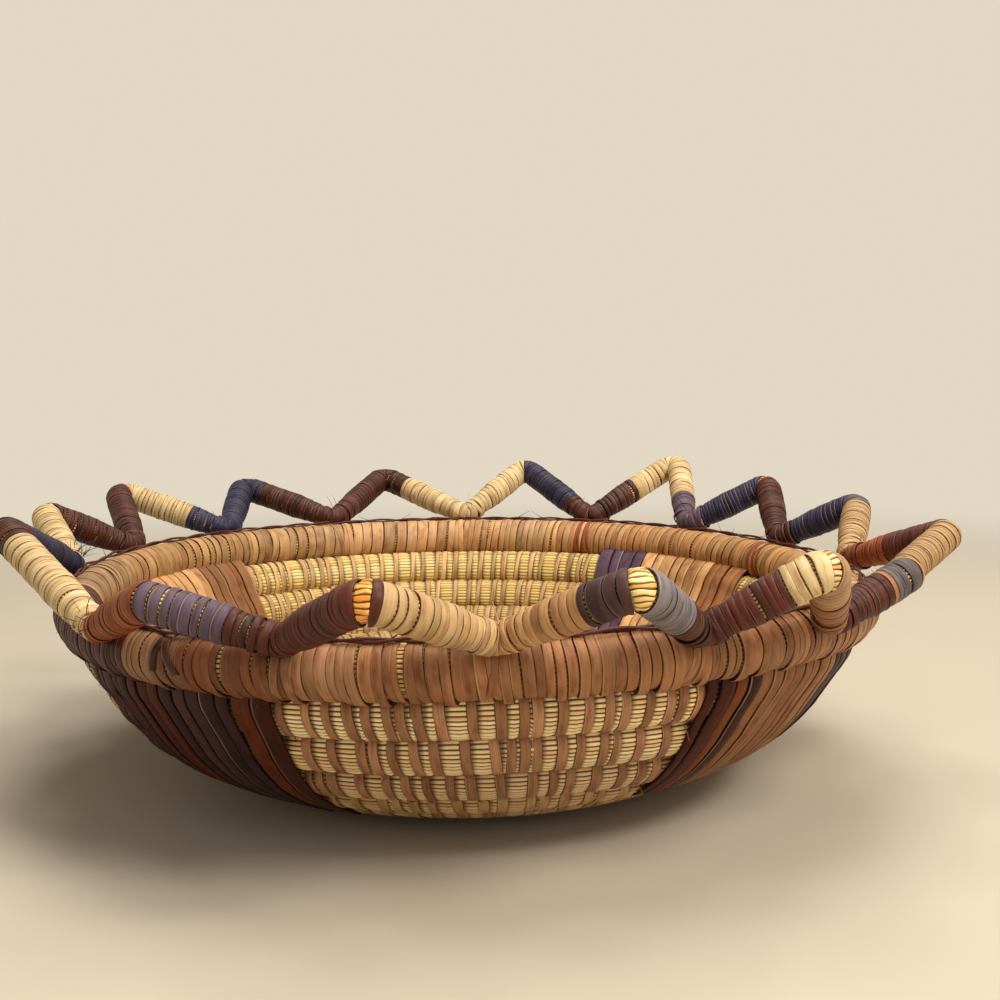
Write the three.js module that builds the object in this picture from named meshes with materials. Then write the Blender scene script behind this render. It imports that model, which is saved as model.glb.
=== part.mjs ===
// A coiled bowl basket. One straw bundle winds outwards from the middle of the base and up the wall,
// leaf strips close the wall in four panels, a thick wrapped coil makes the rim, and a zigzag of
// wrapped straw stands round the rim, lashed down at each lower corner.
// Millimetres, +Z up. The origin is the middle of the base, on the plane it stands on. The front is -Y.

import * as THREE from 'three';

const { cos, sin, tan, acos, asin, atan, atan2, hypot, sqrt, min, max, floor, ceil, PI } = Math;
const rad = THREE.MathUtils.degToRad;

// The straw coil
const coilThickness = 14;
const coilGap = 0.55;
const coilTurns = 12;
const thinStartTurns = 1.38;
const sideCount = 8;
const ringStep = 10;
const standingCut = coilThickness / 10;

// The start of the coil: a thin straight stub across the middle, then a tight bend into the spiral
const coilStart = 0.72;
const stubThickness = 6.4;
const stubLength = stubThickness;
const stubBendRadius = 3.8;
const thinRunTurns = 0.35;

// Each turn lies nearly level and steps out to the next row on the left of the front
const stepEnd = 245;
const stepWidth = 40;
const tailThickness = 4;

// The bowl's wall, in section along the middle of the coil
const floorRadius = 40;
const bellyRadius = 131;
const bellyAngle = 30;
const shoulderRadius = 58;
const shoulderAngle = 28;

// The rim coil
const rimThickness = 16.8;
const rimGap = 0.55;
const rimSides = 12;

// The basket is a little out of round: how far its rim strays up and outwards
const rimLift = { twice: [-0.9, -0.95], thrice: [-0.75, 0.55] };
const rimSwell = { twice: [-0.25, -1.8] };

// The zigzag: where each lower corner stands on the rim and where the peak after it reaches.
// Angles are counter-clockwise from +X, and seat is how far up the rim's outer side the corner sits.
// The usual peak reaches out and rises from the middle of the rim coil to the middle of the peak
// by the first two sizes, and each peak's reach and rise in the list are shares of them.
const peakReach = 32;
const peakRise = 25;
const legThickness = 11.6;
const thickLegs = 1.12;
const seatGap = 0.9;
const cornerRadius = 7.2;
const legJointGap = 0.3;
const borderLean = 30;
const zigzag = [
  { foot: 176, seat: 42, peak: 199, reach: 0.69, rise: 1.2, leaf: ['navy', 'cream'], thick: true },
  { foot: 222, seat: 37, peak: 237, reach: 0.66, rise: 0.84, leaf: ['rust', 'violet'] },
  { foot: 250, seat: 49, peak: 262, reach: 1.12, rise: 1, leaf: ['darkBrown', 'cream'] },
  { foot: 273, seat: 48, peak: 284, reach: 1.03, rise: 1, leaf: ['tan', 'slate'] },
  { foot: 295, seat: 39, peak: 304, reach: 0.91, rise: 1, leaf: ['darkBrown', 'tan'] },
  { foot: 314.5, seat: 28, peak: 326, reach: 0.66, rise: 0.68, leaf: ['darkBrown', 'tan'] },
  { foot: 338, seat: 40, peak: 352, reach: 1.03, rise: 0.88, leaf: ['tan', 'rust'] },
  { foot: 4, seat: 46, peak: 14.5, reach: 0.78, rise: 1, leaf: ['cream', 'navy'] },
  { foot: 24.5, seat: 55, peak: 35.5, reach: 0.84, rise: 1.08, leaf: ['brown', 'violet'] },
  { foot: 45.5, seat: 60, peak: 56, reach: 1.38, rise: 1.28, leaf: ['cream', 'cream'] },
  { foot: 66, seat: 56, peak: 80, reach: 1.03, rise: 1.16, leaf: ['navy', 'cream'] },
  { foot: 90, seat: 59, peak: 103, reach: 1.28, rise: 1, leaf: ['cream', 'darkBrown'] },
  { foot: 115, seat: 58, peak: 125.5, reach: 1.25, rise: 0.92, leaf: ['darkBrown', 'navy'] },
  { foot: 136, seat: 50, peak: 146, reach: 1.34, rise: 1, leaf: ['cream', 'darkBrown'] },
  { foot: 157, seat: 41, peak: 166.5, reach: 0.97, rise: 0.92, leaf: ['darkBrown', 'cream'], thick: true },
];

// The strips that lash each lower corner of the zigzag to the rim
const lashingWidth = 3.2;
const lashingThickness = 1;
const lashingClearance = 0.8;
const lashingMouth = 29;
const lashingStep = 25;

// The closed panels of leaf strips down the outside of the wall. Their foot is a distance along the
// wall from the axis, and their edges are angles.
const panelThickness = 0.9;
const panelClearance = 0.35;
const panelBandGap = 0.5;
const panelTopGap = 4.5;
const panelFoot = 92;
const panelSteps = 9;
const panels = [
  { side: 'front_right', edges: [298.5, 307, 325, 335], leaf: ['darkBrown', 'tan', 'violet'] },
  { side: 'back_right', edges: [25, 34, 51, 61], leaf: ['brown', 'tan', 'violet'] },
  { side: 'back_left', edges: [138, 149, 165, 175], leaf: ['brown', 'tan', 'violet'] },
  { side: 'front_left', edges: [205, 229, 241, 247], leaf: ['darkBrown', 'violet', 'rust'] },
];

const finishes = {
  straw: [0xd7b96e, 0.75],
  cream: [0xe1cd96, 0.6],
  tan: [0xbe915f, 0.6],
  brown: [0x966946, 0.6],
  darkBrown: [0x4b2819, 0.55],
  rust: [0x824628, 0.6],
  violet: [0x5f556e, 0.6],
  slate: [0x6e7382, 0.6],
  navy: [0x2d3250, 0.6],
};

const basket = new THREE.Group();

// Solids are lofted through rings of points. Each ring is two facing halves, so its two end faces
// are closed by a ladder from one half to the other.
function loft(rings, closed = false) {
  const count = rings[0].length;
  const index = [];
  const quad = (a, b, c, d) => index.push(a, b, d, b, c, d);
  const last = closed ? rings.length : rings.length - 1;
  for (let i = 0; i < last; i++) {
    const here = i * count;
    const there = ((i + 1) % rings.length) * count;
    for (let j = 0; j < count; j++) {
      const next = (j + 1) % count;
      quad(here + j, there + j, there + next, here + next);
    }
  }
  if (!closed) {
    const end = (rings.length - 1) * count;
    for (let j = 0; j < count / 2 - 1; j++) {
      const far = count - 1 - j;
      quad(j, j + 1, far - 1, far);
      quad(end + j, end + far, end + far - 1, end + j + 1);
    }
  }
  const geometry = new THREE.BufferGeometry().setFromPoints(rings.flat().map(outOfRound));
  geometry.setIndex(index);
  geometry.computeVertexNormals();
  return geometry;
}

// A ring of points round a tube's middle line. Flats face the up direction and its sides.
function tubeRing(centre, along, up, thickness, sides = sideCount) {
  const side = new THREE.Vector3().crossVectors(along, up).normalize();
  const top = new THREE.Vector3().crossVectors(side, along).normalize();
  const corner = thickness / 2 / cos(PI / sides);
  return Array.from({ length: sides }, (_, j) => {
    const angle = (j + 0.5) * 2 * PI / sides;
    return centre.clone()
      .addScaledVector(side, corner * cos(angle))
      .addScaledVector(top, corner * sin(angle));
  });
}

function addPiece(name, geometry, finish) {
  const [color, roughness] = finishes[finish];
  const mesh = new THREE.Mesh(geometry, new THREE.MeshStandardMaterial({ color, roughness }));
  mesh.name = name;
  basket.add(mesh);
}

const numbered = (name, i) => `${name}_${String(i + 1).padStart(2, '0')}`;

// A point at a radius, an angle in degrees and a height
function polar(radius, angle, height) {
  return new THREE.Vector3(radius * cos(rad(angle)), radius * sin(rad(angle)), height);
}

// The middle of the wall at a distance along it from the axis
function wallAt(distance) {
  let radius = min(distance, floorRadius);
  let height = coilThickness / 2 - standingCut;
  let slope = 0;
  let left = distance - radius;
  for (const [arcRadius, arcAngle] of [[bellyRadius, bellyAngle], [shoulderRadius, shoulderAngle]]) {
    const turn = min(left / arcRadius, rad(arcAngle));
    radius += arcRadius * (sin(slope + turn) - sin(slope));
    height += arcRadius * (cos(slope) - cos(slope + turn));
    slope += turn;
    left -= turn * arcRadius;
  }
  return { radius: radius + left * cos(slope), height: height + left * sin(slope), slope };
}

// The coil and the rim are straight from ring to ring. At an angle between two rings their side
// lies at this share of the radius.
function straightShare(angle) {
  const within = THREE.MathUtils.euclideanModulo(angle - stepEnd, ringStep);
  return cos(rad(ringStep / 2)) / cos(rad(within - ringStep / 2));
}

// A point on the wall at an angle, moved off its middle line along the wall's inward normal
function wallPoint(distance, angle, inward = 0) {
  const { radius, height, slope } = wallAt(distance);
  const share = straightShare(angle);
  return polar((radius - inward * sin(slope)) * share, angle, height + inward * cos(slope));
}

const coilPitch = coilThickness + coilGap;
const rowEdge = (row) => coilPitch * (hypot(row, thinStartTurns) - thinStartTurns);
const rimEdge = rowEdge(coilTurns);
const rim = wallAt(rimEdge - coilGap / 2 + rimGap + rimThickness / 2);

// The hand-made shape: nothing at the base, all of it from the rim up
function outOfRound(point) {
  const share = min(1, max(0, (point.z - coilThickness) / (rim.height - coilThickness)));
  const angle = atan2(point.y, point.x);
  const wave = ([c, s], times) => c * cos(times * angle) + s * sin(times * angle);
  const lift = wave(rimLift.twice, 2) + wave(rimLift.thrice, 3);
  const stretch = 1 + wave(rimSwell.twice, 2) / rim.radius;
  return new THREE.Vector3(
    point.x * (1 + share * (stretch - 1)),
    point.y * (1 + share * (stretch - 1)),
    point.z + share * lift,
  );
}

// The lower edge of the coil after a count of turns. A turn lies level, then steps out one row
// at the end, more so towards the rim, and the rim's underside stops the last one.
function turnEdge(turns) {
  const part = turns - floor(turns);
  const step = THREE.MathUtils.smoothstep(part, 1 - stepWidth / 360, 1);
  const level = turns + min(1, turns / coilTurns) * (step - part);
  return min(rimEdge, rowEdge(max(0, level)));
}

// The coil's middle line and thickness: each turn fills the space between its two edges
function coilAt(turns) {
  const lower = turnEdge(turns);
  const upper = turnEdge(turns + 1);
  return {
    distance: (lower + upper) / 2,
    space: upper - lower,
    bend: wallAt(upper).slope - wallAt(lower).slope,
    angle: stepEnd + turns * 360,
  };
}

function coilRings() {
  const rings = [];
  const ringTurn = ringStep / 360;
  const first = floor(coilStart / ringTurn) * ringTurn;
  const middle = (turns) => wallPoint(coilAt(turns).distance, coilAt(turns).angle);
  for (let turns = first; turns < coilTurns; turns += ringTurn) {
    const { distance, space, bend, angle } = coilAt(turns);
    const { radius, slope } = wallAt(distance);
    const along = middle(turns + ringTurn).sub(middle(turns - ringTurn));
    const climb = coilAt(turns + ringTurn / 2).distance - coilAt(turns - ringTurn / 2).distance;
    const climbAngle = atan(climb / (ringTurn * 2 * PI * radius));
    const full = (space * cos(climbAngle) - coilGap) / (1 + tan(PI / sideCount) * sin(bend / 2));
    const thin = min(full, THREE.MathUtils.mapLinear(turns - first, 0, thinRunTurns, stubThickness, full));
    const thickness = turns - first < thinRunTurns ? thin : full;
    if (turns > coilTurns - 1 && thickness < tailThickness) break;
    // Thinner stretches lie flush with the outside of the wall
    const centre = wallPoint(distance, angle, (thickness - coilThickness) / 2);
    rings.push({ centre, along, up: polar(-sin(slope), angle, cos(slope)), thickness });
  }
  return rings;
}

function addFoundationCoil() {
  const turned = coilRings();
  const begin = turned[0].centre;
  // The stub crosses the axis towards the spiral and bends left into it
  const radius = hypot(begin.x, begin.y);
  const stubEnd = sqrt(radius * radius - stubBendRadius * stubBendRadius) - stubBendRadius;
  const turnBack = atan2(begin.y, begin.x) - asin(stubBendRadius / radius);
  const heading = new THREE.Vector3(cos(turnBack), sin(turnBack), 0);
  const left = new THREE.Vector3(-sin(turnBack), cos(turnBack), 0);
  const stub = (ahead, across, bend) => ({
    centre: heading.clone().multiplyScalar(ahead).addScaledVector(left, across).setZ(begin.z),
    along: heading.clone().multiplyScalar(cos(bend)).addScaledVector(left, sin(bend)),
    up: new THREE.Vector3(0, 0, 1),
    thickness: stubThickness,
  });
  const lead = [stub(stubEnd - stubLength, 0, 0), stub(stubEnd, 0, 0)];
  for (const bend of [rad(30), rad(60)]) {
    lead.push(stub(stubEnd + stubBendRadius * sin(bend), stubBendRadius * (1 - cos(bend)), bend));
  }
  const rings = [...lead, ...turned].map(({ centre, along, up, thickness }) =>
    tubeRing(centre, along, up, thickness).map((point) => point.setZ(max(0, point.z))));
  console.log(`Least gap of the coil to itself: ${leastGap(rings).toFixed(2)} mm`);
  addPiece('foundation_coil', loft(rings), 'straw');
}

// The least distance between points of the coil that lie half a turn or more apart along it
function leastGap(rings) {
  const points = rings.map((ring) => ring.flatMap((point, j) => {
    const next = ring[(j + 1) % ring.length];
    return [point, point.clone().lerp(next, 0.5)];
  }));
  const apart = 180 / ringStep;
  const reach = 2 * (360 / ringStep);
  let least = Infinity;
  for (let i = 0; i < points.length; i++) {
    for (let k = i + apart; k < min(points.length, i + reach); k++) {
      for (const a of points[i]) {
        for (const b of points[k]) least = min(least, a.distanceTo(b));
      }
    }
  }
  return least;
}

function addRimCoil() {
  const rings = [];
  for (let i = 0; i < 360 / ringStep; i++) {
    const angle = stepEnd + i * ringStep;
    const up = polar(-sin(rim.slope), angle, cos(rim.slope));
    rings.push(tubeRing(polar(rim.radius, angle, rim.height), polar(1, angle + 90, 0), up,
      rimThickness, rimSides));
  }
  addPiece('rim_coil', loft(rings, true), 'brown');
}

// A point on the rim at an angle, out and up from the middle of the rim coil
function besideRim(angle, out, up) {
  return polar((rim.radius + out) * straightShare(angle), angle, rim.height + up);
}

const loopThickness = (loop) => legThickness * (loop.thick ? thickLegs : 1);

// The legs of two neighbouring loops meet where the second one's foot stands on the rim
function seatOf(i) {
  const { foot, seat } = zigzag[i];
  const thickness = max(loopThickness(zigzag[i]), loopThickness(zigzag.at(i - 1)));
  const distance = (rimThickness + thickness) / 2 + seatGap;
  const out = distance * cos(rad(seat));
  const up = distance * sin(rad(seat));
  return { foot, seat, thickness, distance, out, up };
}

function zigzagCorners() {
  return zigzag.flatMap(({ peak, reach, rise }, i) => {
    const { foot, out, up } = seatOf(i);
    const tip = polar(rim.radius + reach * peakReach, peak, rim.height + rise * peakRise);
    return [besideRim(foot, out, up), tip];
  });
}

// The directions of the legs that come to a corner and leave it
function legsAt(corners, i) {
  const arriving = corners[i].clone().sub(corners.at(i - 1)).normalize();
  const leaving = corners[(i + 1) % corners.length].clone().sub(corners[i]).normalize();
  return { arriving, leaving };
}

// Each corner is an arc that passes through the corner's own point. It gives the rings of its two
// halves, one for the leg before it and one for the leg after it.
function cornerArc(corners, i) {
  const corner = corners[i];
  const { arriving, leaving } = legsAt(corners, i);
  const turn = arriving.angleTo(leaving);
  const middle = arriving.clone().add(leaving).normalize();
  const outward = arriving.clone().sub(leaving).normalize();
  const at = (share) => {
    const angle = share * turn / 2;
    const centre = corner.clone()
      .addScaledVector(outward, -cornerRadius * (1 - cos(angle)))
      .addScaledVector(middle, cornerRadius * sin(angle));
    const along = middle.clone().multiplyScalar(cos(angle)).addScaledVector(outward, -sin(angle));
    return { centre, along };
  };
  const split = legJointGap / 2 / (cornerRadius * turn / 2);
  return { into: [-1, -0.5, -split].map(at), outOf: [split, 0.5, 1].map(at) };
}

function addZigzag() {
  const corners = zigzagCorners();
  const arcs = corners.map((_, i) => cornerArc(corners, i));
  arcs.forEach((arc, i) => {
    const loop = zigzag[floor(i / 2)];
    const thickness = loopThickness(loop);
    const rings = [...arc.outOf, ...arcs[(i + 1) % arcs.length].into].map(({ centre, along }) => {
      const angle = THREE.MathUtils.radToDeg(atan2(centre.y, centre.x));
      const up = polar(-sin(rad(borderLean)), angle, cos(rad(borderLean)));
      return tubeRing(centre, along, up, thickness);
    });
    addPiece(numbered('zigzag_leg', i), loft(rings), loop.leaf[i % 2]);
  });
}

// A lashing goes round the rim and over the corner that sits on it, and is open where the rim
// lies on the wall
function addLashings() {
  const aroundRim = rimThickness / 2 + lashingClearance;
  const wallSide = rim.slope * 180 / PI + 180;
  const corners = zigzagCorners();
  zigzag.forEach(({ leaf }, i) => {
    const { foot, seat, thickness, distance, out, up } = seatOf(i);
    const tangent = polar(1, foot + 90, 0);
    const { arriving, leaving } = legsAt(corners, 2 * i);
    const steepest = max(arriving.angleTo(tangent), leaving.angleTo(tangent));
    const legRadius = thickness / 2 / cos(PI / sideCount);
    const innerRadius = cornerRadius - legRadius;
    const besideStrip = lashingWidth / 2 + lashingClearance - innerRadius * sin(steepest);
    const notchRise = besideStrip * tan(steepest) + innerRadius * (1 - cos(steepest));
    const aroundLeg = legRadius + notchRise + lashingClearance;
    const lean = acos((aroundRim - aroundLeg) / distance) * 180 / PI;
    const arc = (from, to, inside, middle) => {
      const steps = ceil((to - from) / lashingStep);
      return Array.from({ length: steps + 1 }, (_, k) => ({
        angle: rad(from + (to - from) * k / steps), inside, middle,
      }));
    };
    const path = [
      ...arc(wallSide - 360 + lashingMouth, seat - lean, aroundRim, [0, 0]),
      ...arc(seat - lean, seat + lean, aroundLeg, [out, up]),
      ...arc(seat + lean, wallSide - lashingMouth, aroundRim, [0, 0]),
    ];
    const across = tangent.multiplyScalar(lashingWidth / 2);
    const rings = path.map(({ angle, inside, middle }) => {
      const at = (away) => besideRim(foot, middle[0] + away * cos(angle), middle[1] + away * sin(angle));
      const inner = at(inside);
      const outer = at(inside + lashingThickness);
      return [
        inner.clone().sub(across),
        inner.clone().add(across),
        outer.clone().add(across),
        outer.clone().sub(across),
      ];
    });
    const finish = leaf[0] === 'cream' ? 'cream' : 'darkBrown';
    addPiece(numbered('corner_lashing', i), loft(rings), finish);
  });
}

// A closed panel is three bands of leaf strips, each a thin shell over the outside of the coil
function addPanels() {
  const inside = -(coilThickness / 2 + panelClearance);
  const top = rimEdge - panelTopGap;
  const bottom = panelFoot;
  for (const { side, edges, leaf } of panels) {
    leaf.forEach((finish, band) => {
      const halfGap = panelBandGap / 2 / rim.radius * 180 / PI;
      const from = edges[band] + halfGap;
      const to = edges[band + 1] - halfGap;
      const firstRing = ceil((from - stepEnd) / ringStep) * ringStep + stepEnd;
      const columns = [from];
      for (let angle = firstRing; angle < to; angle += ringStep) columns.push(angle);
      columns.push(to);
      const rings = [];
      for (let i = 0; i <= panelSteps; i++) {
        const distance = bottom + (top - bottom) * i / panelSteps;
        const row = (inward) => columns.map((angle) => wallPoint(distance, angle, inward));
        rings.push([...row(inside), ...row(inside - panelThickness).reverse()]);
      }
      addPiece(`leaf_panel_${side}_${finish}`, loft(rings), finish);
    });
  }
}

addFoundationCoil();
addRimCoil();
addZigzag();
addLashings();
addPanels();

export default basket;
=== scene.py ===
import math

import bpy
import numpy as np
from mathutils import Matrix, Vector


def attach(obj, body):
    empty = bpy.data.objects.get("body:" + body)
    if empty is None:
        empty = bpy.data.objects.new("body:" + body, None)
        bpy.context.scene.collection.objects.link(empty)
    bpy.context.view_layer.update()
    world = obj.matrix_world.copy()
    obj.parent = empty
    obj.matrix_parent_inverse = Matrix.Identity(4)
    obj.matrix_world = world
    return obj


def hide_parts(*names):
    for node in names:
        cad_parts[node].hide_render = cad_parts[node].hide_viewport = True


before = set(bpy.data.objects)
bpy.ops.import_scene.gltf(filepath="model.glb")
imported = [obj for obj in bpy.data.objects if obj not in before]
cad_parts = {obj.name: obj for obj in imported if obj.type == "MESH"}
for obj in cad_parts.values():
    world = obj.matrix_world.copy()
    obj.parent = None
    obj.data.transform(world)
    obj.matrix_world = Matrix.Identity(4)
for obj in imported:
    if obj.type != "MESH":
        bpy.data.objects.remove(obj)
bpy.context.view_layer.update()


# The foundation coil: one long bundle of about thirty straw stalks, wound from a thin start in the
# middle of the base outwards and up the wall. Each stitch pulls the stalks in, and they swell
# between two stitches. Lengths are millimetres until a piece is made, and angles are degrees.
chance = np.random.default_rng(11)
coil_thickness = 14.0
coil_gap = 0.55
coil_turns = 12
thin_start_turns = 1.38
standing_cut = 1.4
coil_start = 0.722
stub_thickness = 6.4
stub_bend = 3.8
thin_run_turns = 0.35
step_end = 245.0
step_width = 40.0
tail_thickness = 4.0
floor_radius = 40.0
wall_arcs = ((131.0, 30.0), (58.0, 28.0))
rim_thickness = 16.8
rim_gap = 0.55
stalks = 31
stalk_cells = (0, 0.3, 0.7)  # where a stalk's groove and the two points of its crown lie across it
coil_flatness = 2.6  # 2 is a round bundle, and more is a squarer one


def polar(radius, angle, height):
    turn = np.radians(angle)
    return np.stack(np.broadcast_arrays(radius * np.cos(turn), radius * np.sin(turn), height), -1)


def unit(vectors):
    return vectors / np.linalg.norm(vectors, axis=-1, keepdims=True)


def wall_at(distance):
    """Radius, height and slope of the wall's middle at a distance along it from the axis."""
    radius = np.minimum(distance, floor_radius)
    height = coil_thickness / 2 - standing_cut
    slope = 0.0
    left = distance - radius
    for arc_radius, arc_angle in wall_arcs:
        turn = np.minimum(left / arc_radius, math.radians(arc_angle))
        radius = radius + arc_radius * (np.sin(slope + turn) - np.sin(slope))
        height = height + arc_radius * (np.cos(slope) - np.cos(slope + turn))
        slope = slope + turn
        left = left - turn * arc_radius
    return radius + left * np.cos(slope), height + left * np.sin(slope), slope


def wall_point(distance, angle, inward):
    radius, height, slope = wall_at(distance)
    return polar(radius - inward * np.sin(slope), angle, height + inward * np.cos(slope))


def row_edge(row):
    pitch = coil_thickness + coil_gap
    return pitch * (np.hypot(row, thin_start_turns) - thin_start_turns)


rim_edge = row_edge(coil_turns)
rim_radius, rim_height, rim_slope = wall_at(rim_edge - coil_gap / 2 + rim_gap + rim_thickness / 2)


def out_of_round(points):
    """The hand-made shape: nothing at the base, all of it from the rim up."""
    share = np.clip((points[:, 2] - coil_thickness) / (rim_height - coil_thickness), 0, 1)
    angle = np.arctan2(points[:, 1], points[:, 0])
    lift = -0.9 * np.cos(2 * angle) - 0.95 * np.sin(2 * angle)
    lift += -0.75 * np.cos(3 * angle) + 0.55 * np.sin(3 * angle)
    stretch = (-0.25 * np.cos(2 * angle) - 1.8 * np.sin(2 * angle)) / rim_radius
    moved = points.copy()
    moved[:, :2] *= (1 + share * stretch)[:, None]
    moved[:, 2] += share * lift
    return moved


def turn_edge(turns):
    """The coil's lower edge: a turn lies level, then steps out one row at its end."""
    part = turns - np.floor(turns)
    step = np.clip((part - 1 + step_width / 360) * 360 / step_width, 0, 1)
    step = step * step * (3 - 2 * step)
    level = turns + np.minimum(1, turns / coil_turns) * (step - part)
    return np.minimum(rim_edge, row_edge(np.maximum(0, level)))


class Bundle:
    """A bundle of stalks along a line. It gives points on its surface by length and by turn round
    it, in radians: nothing is towards the next row up, a quarter turn the inside of the bowl."""

    def __init__(self, centre, along, up, radius, flatness=2.0, spread=1.0):
        side = unit(np.cross(along, up))
        top = unit(np.cross(side, along))
        self.length = self.added(np.linalg.norm(np.diff(centre, axis=0), axis=1))
        self.rows = np.column_stack([centre, side, top, np.broadcast_to(radius, len(centre))])
        self.flatness = flatness
        self.loop = None
        self.spread = spread
        self.turns = np.linspace(0, 2 * math.pi, 721)
        out, rise = self.section(self.turns, 1, 0)
        girth = self.added(np.hypot(np.diff(out), np.diff(rise)))
        self.girth = girth / girth[-1]

    def added(self, steps):
        return np.concatenate([[0], np.cumsum(steps)])

    def section(self, turn, radius, lift):
        """How far out and how far up the surface lies at a turn."""
        c, s, power = np.cos(turn), np.sin(turn), self.flatness
        reach = radius * (np.abs(c) ** power + np.abs(s) ** power) ** (-1 / power) + lift
        return reach * c * self.spread, reach * s

    def turn(self, share):
        """The turn that lies a share of the way round its girth."""
        return np.interp(share, self.girth, self.turns)

    def at(self, length, turn, lift=0.0):
        length, turn, lift = np.broadcast_arrays(length, turn, lift)
        row = np.stack([np.interp(length, self.length, column, period=self.loop)
                        for column in self.rows.T], -1)
        out, rise = self.section(turn, row[..., 9], lift)
        return row[..., :3] + row[..., 3:6] * out[..., None] + row[..., 6:9] * rise[..., None]


def linear(colour):
    """A colour as the eye names it, 0 to 255, in the linear numbers that materials use."""
    share = np.asarray(colour, float) / 255
    return np.where(share <= 0.04045, share / 12.92, ((share + 0.055) / 1.055) ** 2.4)


def sheet(points, u, v, dye, shade=0.0, number=0.0, loop=False, material=0):
    """A tube as a grid of points, with the lengths u down its rows and v round each row. Its ends
    are closed, or joined to each other as a loop."""
    size = points.shape[:2]
    paint = np.dstack([np.broadcast_to(dye, (*size, 3)), np.broadcast_to(shade, size)])
    return dict(points=points, u=u, v=v, paint=paint, number=np.broadcast_to(number, size),
                loop=loop, material=material)


def corners_of_quads(grid):
    return np.stack([grid[:-1, :-1], grid[1:, :-1], grid[1:, 1:], grid[:-1, 1:]], 2)


def add_piece(name, sheets, materials, node, lowest=0.0):
    """Makes one piece of the sheets, which rides on the basket and stands for a CAD node."""
    points, paint, number, corners, places, sizes, kinds = ([] for _ in range(7))
    first = 0
    for part in sheets:
        rows, columns = part["points"].shape[:2]
        grid = first + np.arange(rows * columns).reshape(rows, columns)
        grid = np.column_stack([grid, grid[:, :1]])
        if part["loop"]:
            grid = np.vstack([grid, grid[:1]])
        place = np.dstack(np.meshgrid(part["u"][:len(grid)], part["v"], indexing="ij"))
        corners.append(corners_of_quads(grid).ravel())
        places.append(corners_of_quads(place).reshape(-1, 2))
        faces = [4] * (len(corners[-1]) // 4)
        if not part["loop"]:
            for row, order in ((0, 1), (-1, -1)):
                corners.append(grid[row, :-1][::order])
                places.append(place[row, :-1][::order])
                faces.append(columns)
        sizes += faces
        kinds += [part["material"]] * len(faces)
        points.append(part["points"].reshape(-1, 3))
        paint.append(part["paint"].reshape(-1, 4))
        number.append(part["number"].ravel())
        first += rows * columns
    points = out_of_round(np.concatenate(points))
    points[:, 2] = np.maximum(points[:, 2], lowest)
    mesh = bpy.data.meshes.new(name)
    mesh.vertices.add(len(points))
    mesh.vertices.foreach_set("co", (points / 1000).ravel())
    mesh.loops.add(sum(sizes))
    mesh.loops.foreach_set("vertex_index", np.concatenate(corners).astype(np.int32))
    mesh.polygons.add(len(sizes))
    mesh.polygons.foreach_set("loop_start", np.cumsum([0, *sizes[:-1]]).astype(np.int32))
    mesh.polygons.foreach_set("material_index", np.array(kinds, np.int32))
    mesh.update(calc_edges=True)
    mesh.uv_layers.new(name="strip").data.foreach_set("uv", np.concatenate(places).ravel())
    dyes = mesh.color_attributes.new("dye", "FLOAT_COLOR", "POINT")
    dyes.data.foreach_set("color", np.concatenate(paint).ravel())
    numbers = mesh.attributes.new("number", "FLOAT", "POINT")
    numbers.data.foreach_set("value", np.concatenate(number))
    mesh.shade_smooth()
    for material in materials:
        mesh.materials.append(material)
    piece = bpy.data.objects.new(name, mesh)
    bpy.context.scene.collection.objects.link(piece)
    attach(piece, "root")
    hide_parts(node)


class Shade:
    """A socket of a material's nodes. Sums written with it add Math nodes."""

    def __init__(self, tree, socket=None):
        self.tree = tree
        self.socket = socket

    def node(self, kind, sockets=None, output=0, stops=None, **settings):
        made = self.tree.nodes.new("ShaderNode" + kind)
        for name, value in settings.items():
            setattr(made, name, value)
        if stops:
            ramp = made.color_ramp
            while len(ramp.elements) < len(stops):
                ramp.elements.new(0.5)
            for element, (place, colour) in zip(ramp.elements, stops):
                element.position = place
                element.color = (*linear(colour), 1)
        for name, value in (sockets or {}).items():
            if isinstance(value, Shade):
                self.tree.links.new(value.socket, made.inputs[name])
            else:
                made.inputs[name].default_value = value
        return Shade(self.tree, made.outputs[output])

    def maths(self, operation, *values):
        return self.node("Math", dict(enumerate((self, *values))), operation=operation)

    def __add__(self, other):
        return self.maths("ADD", other)

    def __sub__(self, other):
        return self.maths("SUBTRACT", other)

    def __rsub__(self, other):
        return self.node("Math", {0: other, 1: self}, operation="SUBTRACT")

    def __mul__(self, other):
        return self.maths("MULTIPLY", other)

    __radd__ = __add__
    __rmul__ = __mul__

    def between(self, low, high):
        """Nothing below low, one above high, and a soft step between them."""
        return self.node("MapRange", {0: self, 1: low, 2: high}, interpolation_type="SMOOTHSTEP")

    def blend(self, other, factor, blend_type="MIX"):
        return self.node("Mix", {0: factor, 6: self, 7: other}, output=2,
                         data_type="RGBA", blend_type=blend_type)


def new_material(name, gloss):
    """A material, a Shade to add nodes with, and its Principled shader."""
    made = bpy.data.materials.new(name)
    made.use_nodes = True
    shader = made.node_tree.nodes["Principled BSDF"]
    shader.inputs["Specular IOR Level"].default_value = gloss
    return made, Shade(made.node_tree), shader


def join(shader, **links):
    for name, value in links.items():
        value.tree.links.new(value.socket, shader.inputs[name.replace("_", " ")])


def strip_values(add):
    """A point's dye and number, and how far along its stalk or strip it lies, and how far across."""
    dye = add.node("Attribute", attribute_name="dye")
    number = add.node("Attribute", output="Fac", attribute_name="number")
    where = add.node("UVMap", uv_map="strip")
    return dye, number, *(add.node("SeparateXYZ", {0: where}, output=axis) for axis in "XY")


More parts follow.
